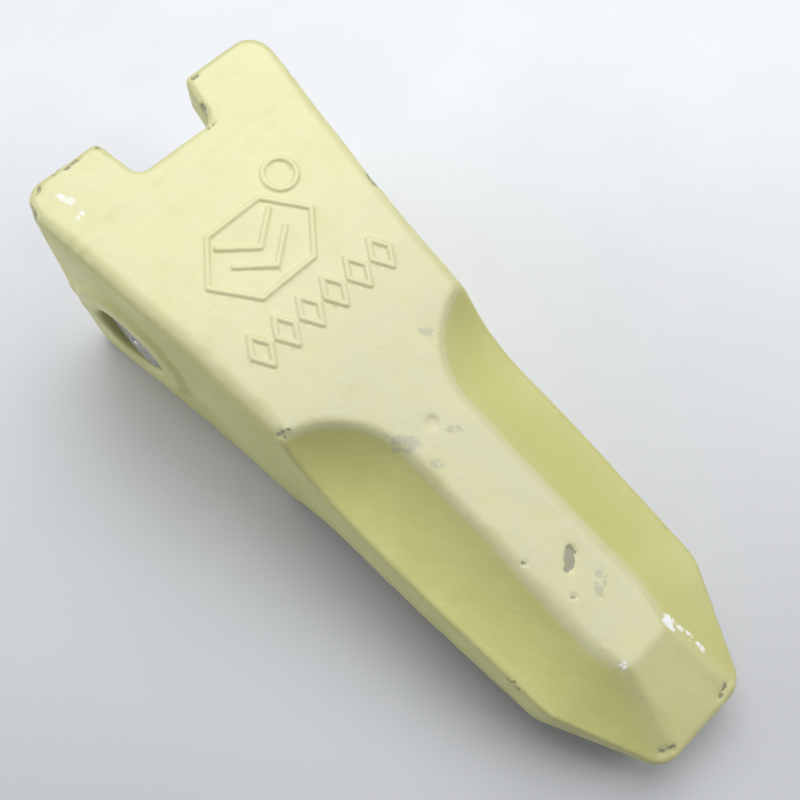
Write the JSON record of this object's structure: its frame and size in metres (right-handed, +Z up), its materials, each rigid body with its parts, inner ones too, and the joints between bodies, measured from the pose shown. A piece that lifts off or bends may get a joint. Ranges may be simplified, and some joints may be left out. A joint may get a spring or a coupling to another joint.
{
  "type": "excavator bucket tooth",
  "caption": "Cast wedge-shaped digging tooth with a central rib, side hollows and a notched rear socket, fastened by a cross pin and a lock ring.",
  "frame": {"origin": "middle of the outline on the plane that the tooth's flat underside rests on", "axes": "+X towards the chisel edge, +Y across along the cross pin towards the lock ring, +Z up, square to the underside; the tooth's middle plane slopes down to the tip by 7.5 degrees"},
  "size_m": [0.1812, 0.0688, 0.0678],
  "materials": {
    "cast_paint": "satin pale yellow-green paint over a cast surface, with chips and scuffs",
    "pin_steel": "turned and hardened steel, oiled",
    "spring_steel": "dark oiled spring steel"
  },
  "bodies": {
    "point": {"tooth_point": "cast_paint"},
    "ring": {"lock_ring": "spring_steel"},
    "pin": {"retaining_pin": "pin_steel"}
  },
  "joints": [
    {"name": "ring_turn", "type": "hinge", "parent": "point", "child": "ring", "pos_m": [-0.06041, 0.02606, 0.03051], "axis": [0, 1, 0], "continuous": true},
    {"name": "pin_drive_out", "type": "slide", "parent": "ring", "child": "pin", "axis": [0, -1, 0], "range_m": [0, 0.075], "deforming": ["lock_ring"]}
  ]
}
